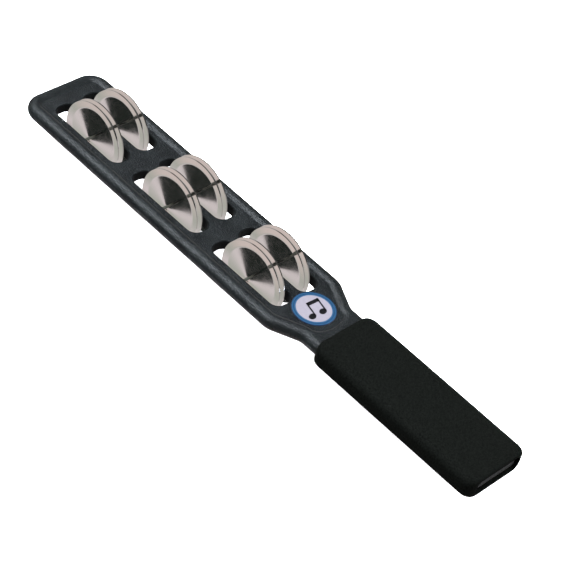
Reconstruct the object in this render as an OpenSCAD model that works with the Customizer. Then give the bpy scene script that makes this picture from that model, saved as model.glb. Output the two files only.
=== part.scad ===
// Jingle stick: a flat paddle with three rows of two windows. Each window holds a pair of
// thin steel jingles, loose on a steel pin that runs across the stick. The paddle is two
// moulded halves that close on the pins, and a foam sleeve covers the handle.
//
// X runs along the stick from the tip (-) to the butt (+), Y across it, Z up.
// The origin is the middle of the outline, on the surface that the jingles rest on.

/* [Stick] */
// Overall length, tip to butt
stick_l = 400; // [380:5:420]
// Width of the head
head_w = 65; // [62:1:67]
// Width of the neck and of the handle core
neck_w = 44; // [42:1:46]
// Thickness at the rounded border, which is the full thickness of the moulding
border_d = 10; // [9:0.5:11]
// Thickness of the sunk panel inside the border
panel_t = 7; // [6:0.5:8]
// Outside radius of the two tip corners
tip_r = 14; // [10:1:15]
// Where the head starts to narrow
shoulder_x = 36; // [34:1:37]
// Slope of the shoulders
shoulder_angle = 27.5; // [26:0.5:32]

/* [Windows] */
// Distance between rows of jingles
row_pitch = 75.5; // [74:0.5:78]
// Length of a window
window_l = 62; // [60:1:66]
// Width of a window
window_w = 16; // [14:0.5:17]
// Corner radius of a window
window_r = 6.5; // [4:0.5:7]
// Width of the rib between two windows
rib_w = 7; // [5:0.5:8]

/* [Jingles] */
// Diameter of a jingle
jingle_d = 50.4; // [48:0.4:52]
// Diameter of the bend between a jingle's cone and its rim
bend_d = 41; // [38:0.5:43]
// How far the cone's middle stands out from the bend
cone_rise = 3.1; // [2:0.1:3.4]
// How far the rim's edge stands out from the bend
rim_rise = 1; // [0.6:0.1:1.4]
// Thickness of the jingle sheet
sheet_t = 0.8; // [0.6:0.1:1]
// Hole in a jingle
hole_d = 4; // [3.6:0.2:5]
// How far a jingle hangs below its pin
hang = 1; // [0.5:0.1:1.2]
// Distance between the two jingles of a pair
pair_gap = 4; // [3:0.2:4.4]
// Diameter of a pin
pin_d = 2; // [1.6:0.1:2.6]

/* [Badge] */
// Diameter of the round badge
badge_d = 28.6; // [24:0.2:30]
// Thickness of the badge
badge_t = 0.6; // [0.4:0.1:1]
// Position of the badge's centre along the stick
badge_x = 44; // [42:0.5:46]

/* [Grip] */
// Where the foam sleeve starts
grip_x = 68; // [67:1:72]
// Width of the sleeve
grip_w = 51; // [50:0.5:56]
// Thickness of the sleeve
grip_t = 15; // [14:0.5:18]
// Rounding of the sleeve's long edges
grip_edge_r = 5; // [3:0.5:6]
// Corner radius at the sleeve's two ends
grip_corner_r = 7; // [4:0.5:9]
// How far the core's end sits inside the sleeve's end
core_inset = 1.2; // [0.8:0.2:2]

/* [Hidden] */
$fn = 96;

near = -1;                                  // the windows on the -Y side
far = 1;                                    // the windows on the +Y side
axis_z = jingle_d / 2 + hang;               // height of the pins and of the joint line
row_x = [for (row = [-2 : 0]) row * row_pitch];
window_y = (rib_w + window_w) / 2;
tip_x = -stick_l / 2;
butt_x = stick_l / 2;
core_end_x = butt_x - core_inset;
slack = 0.15;                               // foam sleeve around the handle core
past = 1;                                   // cuts run this far past a face
bead_flats = 12;                            // flats around the section of the border

// The border is a bead. These are the corners of its centre line, on the +Y side.
border_r = border_d / 2;
line_y = head_w / 2 - border_r;
line_tip_x = tip_x + border_r;
corner_shift = border_r * tan(shoulder_angle / 2);
shoulder_run = (head_w - neck_w) / 2 / tan(shoulder_angle);
line_shoulder = [shoulder_x - corner_shift, line_y];
line_neck = [shoulder_x + shoulder_run - corner_shift, neck_w / 2 - border_r];
tip_turn_r = tip_r - border_r;
recess_end_x = line_neck[0] + border_r;     // the sunk panel stops here, before the sleeve

badge_z = axis_z + panel_t / 2;

// One pair stands in each window, moved along its pin by this much from the middle.
pair_shift_near = 3;
pair_shift_far = 1.8;

// Section of the border: a bead with flats, as wide as this across them
module bead(d) {
    rotate(180 / bead_flats) circle(d = d / cos(180 / bead_flats), $fn = bead_flats);
}

// Upper half of the border's section: across the bead against height
module border_section() {
    intersection() {
        bead(border_d);
        translate([-border_r, 0]) square([border_d, border_r]);
    }
}

// Straight length of border between two corners of the centre line. It runs on past each
// corner by its own amount, into the next length.
module border_run(from, to, before, after) {
    way = to - from;
    translate([from[0], from[1], 0])
        rotate([90, 0, 90 + atan2(way[1], way[0])])
            translate([0, 0, -before])
                linear_extrude(before + norm(way) + after) border_section();
}

// Quarter turn of the border at a tip corner, around this centre
module border_turn(centre) {
    translate(centre)
        rotate(90)
            rotate_extrude(angle = 90)
                translate([tip_turn_r, 0]) border_section();
}

// Border along the +Y side, from the middle of the tip to inside the handle core
module border_side() {
    turn_x = line_tip_x + tip_turn_r;
    turn_y = line_y - tip_turn_r;
    mitre = 1.1 * corner_shift;
    border_run([line_tip_x, 0], [line_tip_x, turn_y], 0, 0);
    border_turn([turn_x, turn_y]);
    border_run([turn_x, line_y], line_shoulder, 0, mitre);
    border_run(line_shoulder, line_neck, mitre, mitre);
    border_run(line_neck, [recess_end_x, line_neck[1]], mitre, 1);
}

// Sunk panel between the borders, as a plan outline
module panel_outline() {
    side = [
        [line_tip_x, line_y], line_shoulder, line_neck, [recess_end_x, line_neck[1]]
    ];
    polygon(concat(side, [for (i = [len(side) - 1 : -1 : 0]) [side[i][0], -side[i][1]]]));
}

// Rounded rectangle, as a plan outline
module rounded_box(l, w, r) {
    square([l - 2 * r, w], center = true);
    square([l, w - 2 * r], center = true);
    for (x = [-1, 1], y = [-1, 1])
        translate([x * (l / 2 - r), y * (w / 2 - r)]) circle(r = r);
}

// Section of the handle core, which is as thick as the border and has the same edges
module core_section(grow) {
    square([2 * line_neck[1], border_d + 2 * grow], center = true);
    for (side = [-1, 1])
        translate([side * line_neck[1], 0]) bead(border_d + 2 * grow);
}

// Upper half of the handle core's section
module core_half_section() {
    intersection() {
        core_section(0);
        translate([-neck_w / 2, 0]) square([neck_w, border_r]);
    }
}

module windows() {
    for (x = row_x, side = [near, far])
        translate([x, side * window_y, -past])
            linear_extrude(border_r + 2 * past) rounded_box(window_l, window_w, window_r);
}

// Upper half of the moulding, on the joint line
module paddle_half() {
    difference() {
        union() {
            border_side();
            mirror([0, 1, 0]) border_side();
            linear_extrude(panel_t / 2) panel_outline();
            translate([recess_end_x, 0, 0])
                rotate([90, 0, 90])
                    linear_extrude(core_end_x - recess_end_x) core_half_section();
        }
        windows();
        for (x = row_x) translate([x, 0, 0]) pin_rod();
    }
}

// A pin lies across the stick, its ends inside the border rods
module pin_rod() {
    rotate([90, 0, 0]) cylinder(d = pin_d, h = 2 * line_y, center = true);
}

module top_half() {
    color([0.13, 0.15, 0.16])
        translate([0, 0, axis_z]) paddle_half();
}

module bottom_half() {
    color([0.11, 0.13, 0.14])
        translate([0, 0, axis_z]) mirror([0, 0, 1]) paddle_half();
}

module pin(row) {
    color([0.75, 0.75, 0.76])
        translate([row_x[row - 1], 0, axis_z]) pin_rod();
}

// Half section of a jingle: radius against height, front face up. The sheet falls from the
// hole to the bend in a straight cone, and the rim turns up again.
module jingle_section() {
    front = [[hole_d / 2, cone_rise], [bend_d / 2, 0], [jingle_d / 2, rim_rise]];
    back = [for (i = [2 : -1 : 0]) front[i] - [0, sheet_t]];
    polygon(concat(front, back));
}

// A jingle that stands on edge in its window. Both of a pair face -Y, one behind the other:
// place is -1 for the front one and 1 for the back one.
module jingle(row, side, place) {
    shift = side == near ? pair_shift_near : pair_shift_far;
    y = side * window_y + shift + place * pair_gap / 2;
    color([0.80, 0.78, 0.76])
        translate([row_x[row - 1], y, axis_z - hang])
            rotate([90, 0, 0])
                rotate_extrude() jingle_section();
}

module badge() {
    color([0.16, 0.35, 0.62])
        translate([badge_x, 0, badge_z]) cylinder(d = badge_d, h = badge_t);
}

// Foam sleeve: the outline seen from above, crossed with the section seen from the butt
module grip_sleeve() {
    grip_l = butt_x - grip_x;
    color([0.07, 0.08, 0.07])
        translate([grip_x, 0, axis_z])
            difference() {
                intersection() {
                    translate([grip_l / 2, 0, -grip_t / 2])
                        linear_extrude(grip_t) rounded_box(grip_l, grip_w, grip_corner_r);
                    rotate([90, 0, 90])
                        linear_extrude(grip_l) rounded_box(grip_w, grip_t, grip_edge_r);
                }
                translate([-past, 0, 0])
                    rotate([90, 0, 90])
                        linear_extrude(grip_l + 2 * past) core_section(slack);
            }
}

top_half();
bottom_half();
badge();
grip_sleeve();
pin(1);  // pin_1
pin(2);  // pin_2
pin(3);  // pin_3
jingle(1, near, -1);  // jingle_1_near_front
jingle(1, near, 1);  // jingle_1_near_back
jingle(1, far, -1);  // jingle_1_far_front
jingle(1, far, 1);  // jingle_1_far_back
jingle(2, near, -1);  // jingle_2_near_front
jingle(2, near, 1);  // jingle_2_near_back
jingle(2, far, -1);  // jingle_2_far_front
jingle(2, far, 1);  // jingle_2_far_back
jingle(3, near, -1);  // jingle_3_near_front
jingle(3, near, 1);  // jingle_3_near_back
jingle(3, far, -1);  // jingle_3_far_front
jingle(3, far, 1);  // jingle_3_far_back
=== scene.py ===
"""Looks of a jingle stick: camera, stage, materials, and the detailed pieces that stand for CAD nodes."""
import math

import bmesh
import bpy
from mathutils import Matrix, Vector


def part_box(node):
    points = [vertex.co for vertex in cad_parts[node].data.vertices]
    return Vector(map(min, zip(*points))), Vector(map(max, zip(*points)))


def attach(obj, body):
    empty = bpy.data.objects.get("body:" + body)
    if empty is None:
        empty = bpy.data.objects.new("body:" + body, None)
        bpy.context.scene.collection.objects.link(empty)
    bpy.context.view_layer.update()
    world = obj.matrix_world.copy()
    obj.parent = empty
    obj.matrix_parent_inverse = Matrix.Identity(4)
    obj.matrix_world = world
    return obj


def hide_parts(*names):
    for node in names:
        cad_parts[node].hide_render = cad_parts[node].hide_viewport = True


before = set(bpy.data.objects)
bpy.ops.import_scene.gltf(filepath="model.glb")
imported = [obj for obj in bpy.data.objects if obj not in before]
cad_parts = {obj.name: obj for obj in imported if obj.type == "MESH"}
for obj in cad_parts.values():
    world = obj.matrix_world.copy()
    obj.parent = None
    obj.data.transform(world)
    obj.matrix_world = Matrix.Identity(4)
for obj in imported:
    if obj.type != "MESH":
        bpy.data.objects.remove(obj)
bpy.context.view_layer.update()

MM = 0.001

# ---------------------------------------------------------------- sizes, in millimetres
# Measured on the frame
moulding_low, moulding_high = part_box("top_half")
sleeve_low, sleeve_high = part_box("grip_sleeve")
badge_low, badge_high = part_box("badge")
JOINT_Z = moulding_low.z / MM
BEAD_R = (moulding_high.z - moulding_low.z) / MM
TIP_X = moulding_low.x / MM
CORE_END_X = moulding_high.x / MM
HEAD_HALF_W = moulding_high.y / MM
SLEEVE_X = sleeve_low.x / MM
BUTT_X = sleeve_high.x / MM
SLEEVE_HALF_W = (sleeve_high.y - sleeve_low.y) / 2 / MM
SLEEVE_HALF_H = (sleeve_high.z - sleeve_low.z) / 2 / MM
BADGE_R = (badge_high.x - badge_low.x) / 2 / MM
BADGE_T = (badge_high.z - badge_low.z) / MM
ROWS = (1, 2, 3)
SIDES = {"near": -1, "far": 1}
PLACES = ("front", "back")

# Moulding
NECK_HALF_W = 22
PANEL_RISE = 3.5            # sunk panel above the joint line
PANEL_FILLET = 1.2          # between the border and the panel
PANEL_LAP = 0.3             # flat strip of the panel beside that fillet
PARTING_GROOVE = 0.3
TIP_TURN_R = 9              # centre line of the border, at the tip corners
SHOULDER_X = 36
SHOULDER_ANGLE = math.radians(27.5)
SHOULDER_TURN_R = 9
NECK_TURN_R = 14
BUTT_TURN_R = 3             # centre line of the handle's edge, at the butt
RECESS_END_X = 56           # the recess ends in half an oval from here
RECESS_BULGE = 9.5
WINDOW = (62, 16, 6.5)      # length, width, corner radius
WINDOW_Y = 11.5
WINDOW_EDGE = 0.5           # rounding of the window's edges
WINDOW_LAP = 0.25           # flat strip of the panel around that rounding
# material slots of the moulding: grained plastic, and a darker, less shiny plastic in the windows that is
# painted shade
GRAINED, WINDOW_SHADE = range(2)

# Jingle
HOLE_R = 2.0
BEND_R = 20.5               # where the cone meets the upturned rim
CONE_RISE = 3.1
RIM_RISE = 1.0
SHEET = 0.8

# Foam sleeve
SLEEVE_CORNER_R = 7
SLEEVE_CORNER_SHARE = 0.93  # how much of that rounding the sides take
SLEEVE_LIP_R = 1.8          # rounding of the top and bottom at either end
SLEEVE_EDGE_R = 5           # rounding of the long edges
SLEEVE_LIP_WALL = 0.4       # thinnest foam beside the core, at either end
SLACK = 0.15                # between the foam and the core
SLEEVE_OPENING = ((0.1, 0.5), (0.6, 0), (2, 0))     # depth from the end, extra width there

# Badge
INK_RISE = 0.04
BEVEL_W = 0.1
BEVEL_H = 0.12
EYE = 0.0007                # share of the radius left open in the middle of the turned disc
NOTE_TURN = math.radians(76)        # the notes stand up towards the tip
WHITE, BLUE, NAVY, INK = range(4)
BADGE_BANDS = ((EYE, WHITE), (0.80, BLUE), (0.875, NAVY), (0.905, BLUE), (0.975, NAVY))

# Light
DAYLIGHT = (0.86, 0.93, 1)
NEAR_BLACK = (0.006, 0.008, 0.007)


# ---------------------------------------------------------------- mesh helpers
def new_object(name, bm, smooth_angle=35):
    """A piece from a bmesh, smooth where its faces meet at less than smooth_angle degrees."""
    bmesh.ops.recalc_face_normals(bm, faces=bm.faces)
    mesh = bpy.data.meshes.new(name)
    bm.to_mesh(mesh)
    bm.free()
    mesh.shade_smooth()
    mesh.set_sharp_from_angle(angle=math.radians(smooth_angle))
    piece = bpy.data.objects.new(name, mesh)
    bpy.context.scene.collection.objects.link(piece)
    return piece


def add_loop(bm, points):
    return [bm.verts.new(Vector(p) * MM) for p in points]


def bridge(bm, loop_a, loop_b, material=0):
    """Quads between two closed loops of the same number of corners."""
    count = len(loop_a)
    for i in range(count):
        j = (i + 1) % count
        face = bm.faces.new((loop_a[i], loop_a[j], loop_b[j], loop_b[i]))
        face.material_index = material


def fill_between(bm, loops):
    """Flat triangles inside the first loop and outside the others."""
    edges = []
    for loop in loops:
        for i, corner in enumerate(loop):
            following = loop[(i + 1) % len(loop)]
            edge = bm.edges.get((corner, following)) or bm.edges.new((corner, following))
            edges.append(edge)
    bmesh.ops.triangle_fill(bm, use_beauty=True, edges=edges)


def lathe(bm, profile, segments, materials):
    """Turns a closed profile of (radius, height) pairs around Z, with a material for each step."""
    rings = []
    for radius, height in profile:
        rings.append(add_loop(bm, [
            (radius * math.cos(a), radius * math.sin(a), height)
            for a in (2 * math.pi * i / segments for i in range(segments))
        ]))
    for ring, following, material in zip(rings, rings[1:] + rings[:1], materials):
        bridge(bm, ring, following, material)


def steps_between(start, stop, count):
    """Evenly spaced values up to stop, without start."""
    return [start + (stop - start) * i / count for i in range(1, count + 1)]


def arc(centre, radius, start, sweep, steps=10):
    """Points of an arc with their directions from the centre, angles in radians."""
    found = []
    for i in range(steps + 1):
        a = start + sweep * i / steps
        out = Vector((math.cos(a), math.sin(a)))
        found.append((Vector(centre) + radius * out, out))
    return found


def rounded_rectangle(length, width, radius):
    """Corners of a rounded rectangle around the origin, anticlockwise."""
    points = []
    for quarter, (sx, sy) in enumerate(((1, 1), (-1, 1), (-1, -1), (1, -1))):
        centre = (sx * (length / 2 - radius), sy * (width / 2 - radius))
        points += [p for p, _ in arc(centre, radius, quarter * math.pi / 2, math.pi / 2)]
    return points


# ---------------------------------------------------------------- material helpers
def new_material(name):
    material = bpy.data.materials.new(name)
    material.use_nodes = True
    tree = material.node_tree
    tree.nodes.clear()
    shader = tree.nodes.new("ShaderNodeBsdfPrincipled")
    output = tree.nodes.new("ShaderNodeOutputMaterial")
    tree.links.new(shader.outputs["BSDF"], output.inputs["Surface"])
    return material, tree, shader


def place_noise(tree, scale, detail=4, roughness=0.5, stretch=(1, 1, 1)):
    """Noise in the object's own coordinates, scale in waves a metre."""
    coordinates = tree.nodes.new("ShaderNodeTexCoord")
    mapping = tree.nodes.new("ShaderNodeMapping")
    mapping.inputs["Scale"].default_value = stretch
    texture = tree.nodes.new("ShaderNodeTexNoise")
    texture.inputs["Scale"].default_value = scale
    texture.inputs["Detail"].default_value = detail
    texture.inputs["Roughness"].default_value = roughness
    tree.links.new(coordinates.outputs["Object"], mapping.inputs["Vector"])
    tree.links.new(mapping.outputs["Vector"], texture.inputs["Vector"])
    return texture.outputs["Fac"]


def remap(tree, value, low, high, from_low=0.35, from_high=0.65):
    """Stretches a value to low..high. Most of a noise lies in the default input range."""
    node = tree.nodes.new("ShaderNodeMapRange")
    node.inputs["From Min"].default_value = from_low
    node.inputs["From Max"].default_value = from_high
    node.inputs["To Min"].default_value = low
    node.inputs["To Max"].default_value = high
    tree.links.new(value, node.inputs["Value"])
    return node.outputs["Result"]


def speckle(tree, shader, noise, dark, light):
    """Base colour that wanders between two colours with a noise."""
    node = tree.nodes.new("ShaderNodeMix")
    node.data_type = "RGBA"
    node.inputs["A"].default_value = (*dark, 1)
    node.inputs["B"].default_value = (*light, 1)
    tree.links.new(remap(tree, noise, 0, 1), node.inputs["Factor"])
    tree.links.new(node.outputs["Result"], shader.inputs["Base Color"])


def vary_roughness(tree, shader, noise, low, high):
    tree.links.new(remap(tree, noise, low, high), shader.inputs["Roughness"])


def bump(tree, shader, height, depth_mm, strength):
    node = tree.nodes.new("ShaderNodeBump")
    node.inputs["Strength"].default_value = strength
    node.inputs["Distance"].default_value = depth_mm * MM
    tree.links.new(height, node.inputs["Height"])
    tree.links.new(node.outputs["Normal"], shader.inputs["Normal"])


# ---------------------------------------------------------------- materials
def moulded_plastic():
    """Black plastic with a pebbled grain that breaks up its highlights."""
    material, tree, shader = new_material("moulded_plastic")
    grain = place_noise(tree, scale=1200, detail=2, roughness=0.6)
    patches = place_noise(tree, scale=60)
    speckle(tree, shader, patches, dark=(0.0018, 0.0023, 0.0026), light=(0.0034, 0.0043, 0.0047))
    vary_roughness(tree, shader, patches, low=0.30, high=0.38)
    shader.inputs["Specular IOR Level"].default_value = 0.3
    bump(tree, shader, grain, depth_mm=0.5, strength=1.0)
    return material


def window_shade_plastic():
    """The same black plastic on the windows' edges and walls, painted darker and less shiny than the rest:
    painted shade in the window recesses.
    """
    material, tree, shader = new_material("window_shade_plastic")
    grain = place_noise(tree, scale=1500, detail=3)
    speckle(tree, shader, grain, dark=(0.0012, 0.0015, 0.0016), light=(0.0024, 0.0030, 0.0032))
    shader.inputs["Roughness"].default_value = 0.7
    shader.inputs["Specular IOR Level"].default_value = 0.08
    bump(tree, shader, grain, depth_mm=0.1, strength=0.6)
    return material


def nickel_plate():
    """Nickel-plated sheet, turned in fine rings around the disc's axis, with light scuffs."""
    material, tree, shader = new_material("nickel_plate")
    scuffs = place_noise(tree, scale=260, detail=5, roughness=0.7)
    around = tree.nodes.new("ShaderNodeTangent")
    around.direction_type = "RADIAL"
    around.axis = "Y"
    shader.inputs["Metallic"].default_value = 1
    shader.inputs["Base Color"].default_value = (0.80, 0.77, 0.74, 1)
    shader.inputs["Anisotropic"].default_value = 0.8
    shader.inputs["Anisotropic Rotation"].default_value = 0.25
    tree.links.new(around.outputs["Tangent"], shader.inputs["Tangent"])
    vary_roughness(tree, shader, scuffs, low=0.09, high=0.14)
    return material


def drawn_wire():
    """Dull wire, more grey than bright, with streaks along it."""
    material, tree, shader = new_material("drawn_wire")
    shader.inputs["Base Color"].default_value = (0.055, 0.058, 0.050, 1)
    streaks = place_noise(tree, scale=700, stretch=(1, 0.06, 1))
    vary_roughness(tree, shader, streaks, low=0.25, high=0.4)
    bump(tree, shader, streaks, depth_mm=0.03, strength=0.5)
    return material


def closed_cell_foam():
    """Black foam: fine pores in a matte skin."""
    material, tree, shader = new_material("closed_cell_foam")
    cells = place_noise(tree, scale=1300, detail=3, roughness=0.65)
    speckle(tree, shader, cells, dark=(0.0003, 0.0004, 0.0003), light=(0.0026, 0.0031, 0.0026))
    shader.inputs["Roughness"].default_value = 0.8
    shader.inputs["Specular IOR Level"].default_value = 0.04
    bump(tree, shader, cells, depth_mm=0.3, strength=0.8)
    return material


def printed(name, colour):
    """A printed colour of the badge, slightly worn."""
    material, tree, shader = new_material(name)
    wear = place_noise(tree, scale=500)
    worn = tuple(0.93 * c for c in colour)
    speckle(tree, shader, wear, dark=worn, light=colour)
    vary_roughness(tree, shader, wear, low=0.285, high=0.33)
    return material


# ---------------------------------------------------------------- moulding
def border_line():
    """Centre line of the border with outward directions, from the +Y neck around the tip to the -Y neck."""
    line_y = HEAD_HALF_W - BEAD_R
    neck_y = NECK_HALF_W - BEAD_R
    shift = BEAD_R * math.tan(SHOULDER_ANGLE / 2)
    run = (HEAD_HALF_W - NECK_HALF_W) / math.tan(SHOULDER_ANGLE)
    shoulder_x = SHOULDER_X - shift
    neck_x = SHOULDER_X + run - shift
    up = math.pi / 2
    neck_trim = NECK_TURN_R * math.tan(SHOULDER_ANGLE / 2)
    shoulder_trim = SHOULDER_TURN_R * math.tan(SHOULDER_ANGLE / 2)
    hollow = [
        (p, -out) for p, out in
        arc((neck_x + neck_trim, neck_y + NECK_TURN_R), NECK_TURN_R, -up, -SHOULDER_ANGLE, steps=8)
    ]
    shoulder = arc((shoulder_x - shoulder_trim, line_y - SHOULDER_TURN_R), SHOULDER_TURN_R,
                   up - SHOULDER_ANGLE, SHOULDER_ANGLE, steps=8)
    tip_x = TIP_X + BEAD_R
    corner = arc((tip_x + TIP_TURN_R, line_y - TIP_TURN_R), TIP_TURN_R, up, up, steps=12)
    side = hollow + shoulder + corner
    other = [(Vector((p.x, -p.y)), Vector((out.x, -out.y))) for p, out in reversed(side)]
    line = [(Vector((RECESS_END_X, neck_y)), Vector((0, 1)))] + side + other
    line += [(Vector((RECESS_END_X, -neck_y)), Vector((0, -1)))]
    return line


def handle_line():
    """Centre line of the handle's edge, from the -Y neck around the butt to the +Y neck."""
    neck_y = NECK_HALF_W - BEAD_R
    turn_x = CORE_END_X - BEAD_R - BUTT_TURN_R
    turn_y = neck_y - BUTT_TURN_R
    low = arc((turn_x, -turn_y), BUTT_TURN_R, -math.pi / 2, math.pi / 2, steps=6)
    high = arc((turn_x, turn_y), BUTT_TURN_R, 0, math.pi / 2, steps=6)
    start = (Vector((SLEEVE_X, -neck_y)), Vector((0, -1)))
    stop = (Vector((SLEEVE_X, neck_y)), Vector((0, 1)))
    return [start] + low + high + [stop]


def recess_end_line():
    """Half an oval that closes the recess, from the -Y neck to the +Y neck, ends left out."""
    neck_y = NECK_HALF_W - BEAD_R
    steps = 28
    line = []
    for i in range(1, steps):
        a = -math.pi / 2 + math.pi * i / steps
        p = Vector((RECESS_END_X + RECESS_BULGE * math.cos(a), neck_y * math.sin(a)))
        out = Vector((math.cos(a) / RECESS_BULGE, math.sin(a) / neck_y)).normalized()
        line.append((p, out))
    return line


def outer_section():
    """From the top of the bead out and down to the joint line, with a fine parting groove."""
    lowest = math.asin(PARTING_GROOVE / BEAD_R)
    flank = steps_between(math.pi / 2, lowest, 12)
    section = [(BEAD_R * math.cos(a), BEAD_R * math.sin(a)) for a in flank]
    section.append((BEAD_R - PARTING_GROOVE, 0))
    return section


def inner_section():
    """From the top of the bead in and down to the sunk panel, with a fillet at its foot."""
    rise = PANEL_RISE + PANEL_FILLET
    foot = math.sqrt((BEAD_R + PANEL_FILLET) ** 2 - rise ** 2)
    meet = math.atan2(rise, -foot)
    bead = [
        (BEAD_R * math.cos(a), BEAD_R * math.sin(a)) for a in steps_between(math.pi / 2, meet, 8)
    ]
    fillet = [
        (PANEL_FILLET * math.cos(a) - foot, rise + PANEL_FILLET * math.sin(a))
        for a in steps_between(meet - math.pi, -math.pi / 2, 5)
    ]
    return bead + fillet + [(-foot - PANEL_LAP, PANEL_RISE)]


def line_loop(bm, line, outward, height):
    return add_loop(bm, [(*(p + out * outward), JOINT_Z + height) for p, out in line])


def sweep(bm, above, line, section):
    """Surface from a loop on through one loop for each step of a section. Returns the last."""
    for outward, height in section:
        below = line_loop(bm, line, outward, height)
        bridge(bm, above, below)
        above = below
    return above


def window_wall(bm, x, y):
    """Rounded edge and wall of a window. Returns its loops on the panel and on the joint line."""
    length, width, radius = WINDOW
    section = [(WINDOW_EDGE + WINDOW_LAP, PANEL_RISE)]
    for a in [0] + steps_between(0, math.pi / 2, 4):
        section.append((WINDOW_EDGE * (1 - math.sin(a)), PANEL_RISE - WINDOW_EDGE * (1 - math.cos(a))))
    section.append((0, 0))
    loops = []
    for grow, height in section:
        plan = rounded_rectangle(length + 2 * grow, width + 2 * grow, radius + grow)
        loops.append(add_loop(bm, [(p.x + x, p.y + y, JOINT_Z + height) for p in plan]))
    for above, below in zip(loops, loops[1:]):
        # the window's edge and wall take the darker plastic: painted shade in the recess
        bridge(bm, above, below, WINDOW_SHADE)
    return loops[0], loops[-1]


def row_x(row):
    low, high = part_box(f"pin_{row}")
    return (low.x + high.x) / 2 / MM


def moulding_half(name):
    """Upper half of the moulding: border, sunk panel, handle core and windows."""
    bm = bmesh.new()
    border = border_line()
    handle = handle_line()
    recess_end = recess_end_line()
    ridge = line_loop(bm, border, 0, BEAD_R)
    handle_ridge = line_loop(bm, handle, 0, BEAD_R)
    outline = sweep(bm, ridge + handle_ridge, border + handle, outer_section())
    recess_ridge = line_loop(bm, recess_end, 0, BEAD_R)
    panel_edge = sweep(bm, ridge + recess_ridge, border + recess_end, inner_section())
    core_top = [ridge[-1]] + handle_ridge + [ridge[0]] + recess_ridge[::-1]
    fill_between(bm, [core_top])
    windows = [
        window_wall(bm, row_x(row), side * WINDOW_Y) for row in ROWS for side in SIDES.values()
    ]
    fill_between(bm, [panel_edge] + [top for top, _ in windows])
    fill_between(bm, [outline] + [bottom for _, bottom in windows])
    return new_object(name, bm)


def make_moulding(grained, window_shade):
    """Both halves of the moulding. The lower one is the upper one mirrored in the joint line."""
    top = moulding_half("moulding_upper")
    bottom = moulding_half("moulding_lower")
    flip = Matrix.Translation((0, 0, 2 * JOINT_Z * MM)) @ Matrix.Scale(-1, 4, (0, 0, 1))
    bottom.data.transform(flip)
    bottom.data.flip_normals()
    by_index = {GRAINED: grained, WINDOW_SHADE: window_shade}
    for piece, node in ((top, "top_half"), (bottom, "bottom_half")):
        for index in sorted(by_index):
            piece.data.materials.append(by_index[index])
        piece.visible_glossy = False        # the jingles mirror the studio, not the black frame
        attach(piece, "stick")
        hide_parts(node)
    return [top, bottom]


# ---------------------------------------------------------------- jingles and pins
def jingle_height(r, jingle_r):
    """Height of the front face above the bend between the cone and the upturned rim."""
    if r < BEND_R:
        return CONE_RISE * (BEND_R - r) / (BEND_R - HOLE_R)
    return RIM_RISE * (r - BEND_R) / (jingle_r - BEND_R)


def jingle_profile(jingle_r):
    """Closed profile of the sheet: radius against height, front face up."""
    radii = [HOLE_R] + steps_between(HOLE_R, jingle_r, 48)
    front = [(r, jingle_height(r, jingle_r)) for r in radii]
    back = [(r, h - SHEET) for r, h in reversed(front)]
    return front + back


def make_jingle(node, name, material):
    """One turned disc in the place of a CAD jingle, its cone towards -Y."""
    low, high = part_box(node)
    profile = jingle_profile((high.z - low.z) / 2 / MM)
    bm = bmesh.new()
    lathe(bm, profile, segments=160, materials=[0] * len(profile))
    piece = new_object(name, bm, smooth_angle=50)
    bend_y = high.y - SHEET * MM
    piece.data.transform(
        Matrix.Translation(((low.x + high.x) / 2, bend_y, (low.z + high.z) / 2))
        @ Matrix.Rotation(math.pi / 2, 4, "X")
    )
    piece.data.materials.append(material)
    piece.visible_glossy = False            # the jingles don't mirror each other
    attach(piece, node)
    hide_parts(node)


def dress_pin(row, material):
    """A pin stays the CAD's own solid and only gets a material."""
    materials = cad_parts[f"pin_{row}"].data.materials
    materials.clear()
    materials.append(material)


# ---------------------------------------------------------------- foam sleeve
def short_of_flank(radius, d):
    """How far a rounded corner of this radius lies inside its flank, d from the end."""
    return radius - math.sqrt(radius ** 2 - (radius - min(d, radius)) ** 2)


def sleeve_half_w(d):
    """Half width of the sleeve at distance d from the nearer end."""
    return SLEEVE_HALF_W - SLEEVE_CORNER_SHARE * short_of_flank(SLEEVE_CORNER_R, d)


def sleeve_section(half_w, half_h, radius, x):
    plan = rounded_rectangle(2 * half_w, 2 * half_h, radius)
    return [(x, p.x, JOINT_Z + p.y) for p in plan]


def outer_ring(d, x):
    """Outside of the sleeve at x, which is d from the nearer end."""
    drop = short_of_flank(SLEEVE_LIP_R, d)
    return sleeve_section(sleeve_half_w(d), SLEEVE_HALF_H - drop, SLEEVE_EDGE_R - drop / 2, x)


def inner_ring(d, x, grow):
    """Inside of the sleeve at x, which is d from the nearer end and opened up by grow."""
    half_w = min(NECK_HALF_W + SLACK + grow, sleeve_half_w(d) - SLEEVE_LIP_WALL)
    half_h = BEAD_R + SLACK
    just_under = half_h - 0.01              # a full radius would leave no flat side
    return sleeve_section(half_w, half_h + grow, just_under, x)


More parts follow.
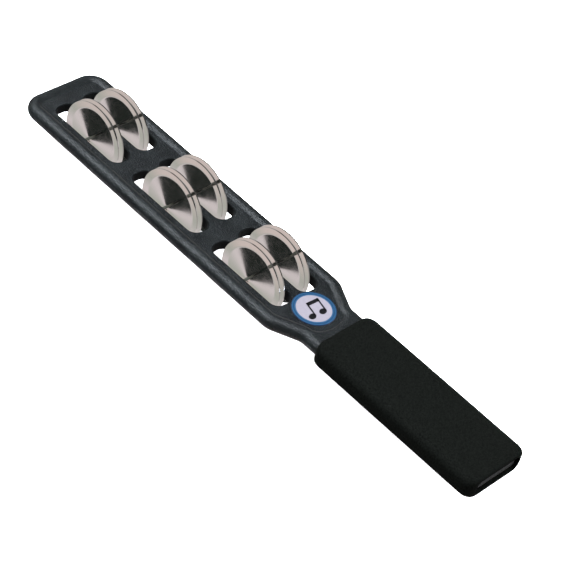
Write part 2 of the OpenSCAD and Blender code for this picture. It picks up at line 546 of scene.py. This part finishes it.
def make_sleeve(material):
    """A tube of foam: rings along its outside to the butt, and back through its inside."""
    bm = bmesh.new()
    straight = BUTT_X - SLEEVE_X - 2 * SLEEVE_CORNER_R
    quarter = [0] + steps_between(0, math.pi / 2, 14)
    ends = [SLEEVE_CORNER_R * (1 - math.cos(a)) for a in quarter]
    middle = 40
    rings = [outer_ring(d, SLEEVE_X + d) for d in ends]
    for i in range(1, middle):
        rings.append(outer_ring(SLEEVE_CORNER_R, SLEEVE_X + SLEEVE_CORNER_R + straight * i / middle))
    rings += [outer_ring(d, BUTT_X - d) for d in reversed(ends)]
    rings += [inner_ring(d, BUTT_X - d, grow) for d, grow in SLEEVE_OPENING]
    rings += [inner_ring(d, SLEEVE_X + d, grow) for d, grow in reversed(SLEEVE_OPENING)]
    loops = [add_loop(bm, ring) for ring in rings]
    for loop, following in zip(loops, loops[1:] + loops[:1]):
        bridge(bm, loop, following)
    piece = new_object("foam_sleeve", bm, smooth_angle=40)
    piece.data.materials.append(material)
    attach(piece, "stick")
    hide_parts("grip_sleeve")
    return piece


# ---------------------------------------------------------------- badge
def prism(bm, outline, low, high, material):
    """A flat shape that stands from one height to another."""
    top = add_loop(bm, [(x, y, high) for x, y in outline])
    base = add_loop(bm, [(x, y, low) for x, y in outline])
    bridge(bm, top, base, material)
    for loop in (top, base):
        face = bm.faces.new(loop)
        face.material_index = material


def note_head(at):
    """A slanted oval around a point, in millimetres."""
    half_length = 2.9
    half_width = 2.1
    slant = math.radians(24)
    steps = 28
    points = []
    for i in range(steps):
        a = 2 * math.pi * i / steps
        x = half_length * math.cos(a)
        y = half_width * math.sin(a)
        points.append((at[0] + x * math.cos(slant) - y * math.sin(slant),
                       at[1] + x * math.sin(slant) + y * math.cos(slant)))
    return points


def beamed_notes():
    """Outlines of two notes joined by a beam, in millimetres around the badge's centre."""
    first_x = -4.3
    first_y = -5.6
    spread = 8.6                # from the first note to the second
    climb = 1.8
    stem_x = 2.7                # right edge of a stem, from the middle of its note
    stem_w = 1.1
    stem_h = 11.2
    beam_h = 2.6
    shapes = []
    tops = []
    for x, y in ((first_x, first_y), (first_x + spread, first_y + climb)):
        shapes.append(note_head((x, y)))
        right = x + stem_x
        left = right - stem_w
        tops.append((right, y + stem_h))
        shapes.append([(left, y), (right, y), (right, y + stem_h), (left, y + stem_h)])
    (x0, y0), (x1, y1) = tops
    shapes.append([(x0 - stem_w, y0 - beam_h), (x1, y1 - beam_h), (x1, y1), (x0 - stem_w, y0)])
    return shapes


def make_badge(materials):
    """A round sticker: a white face in a blue ring, with a plain pair of notes on it."""
    centre = (badge_low + badge_high) / 2
    face = BADGE_T - INK_RISE
    profile = [(BADGE_R * share, face) for share, _ in BADGE_BANDS]
    profile += [(BADGE_R - BEVEL_W, face), (BADGE_R, face - BEVEL_H), (BADGE_R, 0), (BADGE_R * EYE, 0)]
    colours = [colour for _, colour in BADGE_BANDS]
    colours += [NAVY] * (len(profile) - len(colours))
    bm = bmesh.new()
    lathe(bm, profile, segments=96, materials=colours)
    for outline in beamed_notes():
        turned = [Matrix.Rotation(NOTE_TURN, 2) @ Vector(p) for p in outline]
        prism(bm, turned, face - INK_RISE, face + INK_RISE, INK)
    piece = new_object("badge_disc", bm)
    piece.data.transform(Matrix.Translation((centre.x, centre.y, badge_low.z)))
    for material in materials:
        piece.data.materials.append(material)
    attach(piece, "stick")
    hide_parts("badge")
    return piece


# ---------------------------------------------------------------- stage
def make_camera():
    """The main view: angles in degrees, distances in metres, the lens in millimetres."""
    azimuth, elevation, roll = (math.radians(a) for a in (34.479, 42.614, 16.39))
    target = Vector((0.01927, 0.00227, JOINT_Z * MM))
    distance = 1.3277
    forward = -Vector((
        math.sin(azimuth) * math.cos(elevation),
        -math.cos(azimuth) * math.cos(elevation),
        math.sin(elevation),
    ))
    level = forward.cross(Vector((0, 0, 1))).normalized()
    upright = level.cross(forward)
    right = math.cos(roll) * level + math.sin(roll) * upright
    up = math.cos(roll) * upright - math.sin(roll) * level
    camera = bpy.data.objects.new("camera", bpy.data.cameras.new("camera"))
    camera.data.sensor_width = 36
    camera.data.lens = 135.08
    camera.data.clip_end = 20
    placed = Matrix((right, up, -forward)).transposed().to_4x4()
    placed.translation = target - forward * distance
    camera.matrix_world = placed
    bpy.context.scene.collection.objects.link(camera)
    bpy.context.scene.camera = camera


def make_floor():
    """A white table that glows a little, so that it stays white to its edges."""
    bm = bmesh.new()
    bmesh.ops.create_grid(bm, x_segments=1, y_segments=1, size=6)
    mesh = bpy.data.meshes.new("floor")
    bm.to_mesh(mesh)
    bm.free()
    floor = bpy.data.objects.new("floor", mesh)
    bpy.context.scene.collection.objects.link(floor)
    material, _, shader = new_material("floor")
    shader.inputs["Base Color"].default_value = (0.9, 0.9, 0.9, 1)
    shader.inputs["Roughness"].default_value = 0.9
    shader.inputs["Emission Color"].default_value = (1, 1, 1, 1)
    shader.inputs["Emission Strength"].default_value = 0.5
    floor.data.materials.append(material)
    floor.visible_glossy = False            # shiny parts mirror the world's lit table instead
    floor.visible_diffuse = False           # and the dark undersides get no glow from it
    return floor


def make_softbox(name, at, towards, size, power, colour=(1, 1, 1)):
    light = bpy.data.lights.new(name, "AREA")
    light.shape = "RECTANGLE"
    light.size, light.size_y = size
    light.energy = power
    light.color = colour
    lamp = bpy.data.objects.new(name, light)
    lamp.location = at
    lamp.rotation_euler = (Vector(towards) - Vector(at)).to_track_quat("-Z", "Y").to_euler()
    bpy.context.scene.collection.objects.link(lamp)
    return lamp


def make_lamps(dull):
    """Soft fills from all round, and two cool lamps that only the dull pieces catch."""
    middle = (0, 0, 0)
    fills = 6
    reach = 2
    for i in range(fills):
        a = 2 * math.pi * i / fills
        at = (reach * math.cos(a), reach * math.sin(a), reach)
        fill = make_softbox(f"fill_{i}", at, middle, size=(2, 2), power=80)
        fill.visible_glossy = False
    lit = bpy.data.collections.new("dull_pieces")
    for piece in dull:
        lit.objects.link(piece)
    overhead = make_softbox("overhead", (-0.6, -0.4, 1.3), middle, (0.7, 0.5), 46, DAYLIGHT)
    side = make_softbox("side", (1.0, 0.9, 0.65), (0.1, 0, 0), (0.5, 0.3), 12, DAYLIGHT)
    for lamp in (overhead, side):
        lamp.light_linking.receiver_collection = lit


def make_world():
    """What shiny parts mirror: a lit table, grey walls, a dark ceiling and one dark curtain."""
    table_edge = -0.598
    edge_blur = 0.01
    curtain_at = (-0.417, -0.607, -0.677)
    curtain_fade = (0.6, 0.75)
    seen = (                                # how high a ray looks, and what it meets there
        (-1, (0.36, 0.31, 0.295)),
        (-0.88, (0.35, 0.305, 0.295)),
        (-0.78, (0.23, 0.24, 0.22)),
        (-0.66, (0.36, 0.335, 0.345)),
        (table_edge, (0.36, 0.335, 0.345)),
        (table_edge + edge_blur, (0.20, 0.195, 0.19)),
        (0.25, (0.16, 0.16, 0.16)),
        (0.4, NEAR_BLACK),
        (1, (0.08, 0.08, 0.08)),
    )
    world = bpy.data.worlds.new("world")
    world.use_nodes = True
    tree = world.node_tree
    background = tree.nodes["Background"]
    direction = tree.nodes.new("ShaderNodeTexCoord").outputs["Generated"]

    def along(axis):
        node = tree.nodes.new("ShaderNodeVectorMath")
        node.operation = "DOT_PRODUCT"
        node.inputs[1].default_value = axis
        tree.links.new(direction, node.inputs[0])
        return node.outputs["Value"]

    height = along((0.115, 0, 1))           # the table's far edge runs a little aslant
    bands = tree.nodes.new("ShaderNodeValToRGB")
    tree.links.new(remap(tree, height, 0, 1, -1, 1), bands.inputs["Fac"])
    stops = bands.color_ramp.elements
    while len(stops) < len(seen):
        stops.new(0.5)
    for stop, (z, colour) in zip(stops, seen):
        stop.position = (z + 1) / 2
        stop.color = (*colour, 1)

    curtain = tree.nodes.new("ShaderNodeMix")
    curtain.data_type = "RGBA"
    curtain.inputs["B"].default_value = (*NEAR_BLACK, 1)
    overlap = tree.nodes.new("ShaderNodeMath")
    overlap.operation = "MULTIPLY"
    in_curtain = remap(tree, along(curtain_at), 0, 1, *curtain_fade)
    above_table = remap(tree, height, 0, 1, table_edge, table_edge + edge_blur)
    tree.links.new(in_curtain, overlap.inputs[0])
    tree.links.new(above_table, overlap.inputs[1])
    tree.links.new(overlap.outputs["Value"], curtain.inputs["Factor"])
    tree.links.new(bands.outputs["Color"], curtain.inputs["A"])
    tree.links.new(curtain.outputs["Result"], background.inputs["Color"])
    background.inputs["Strength"].default_value = 2
    bpy.context.scene.world = world


def main():
    make_camera()
    dull = [make_floor()]
    make_world()
    bpy.context.scene.view_settings.view_transform = "Standard"

    nickel = nickel_plate()
    wire = drawn_wire()
    badge_colours = (
        printed("badge_white", (0.110, 0.102, 0.122)),
        printed("badge_blue", (0.005, 0.028, 0.062)),
        printed("badge_navy", (0.002, 0.006, 0.022)),
        printed("badge_ink", (0.002, 0.002, 0.0025)),
    )

    # the second plastic is darker and less shiny: painted shade in the windows
    dull += make_moulding(moulded_plastic(), window_shade_plastic())
    for row in ROWS:
        dress_pin(row, wire)
        for side in SIDES:
            for place in PLACES:
                make_jingle(f"jingle_{row}_{side}_{place}", f"disc_{row}_{side}_{place}", nickel)
    dull.append(make_sleeve(closed_cell_foam()))
    dull.append(make_badge(badge_colours))
    make_lamps(dull)


main()
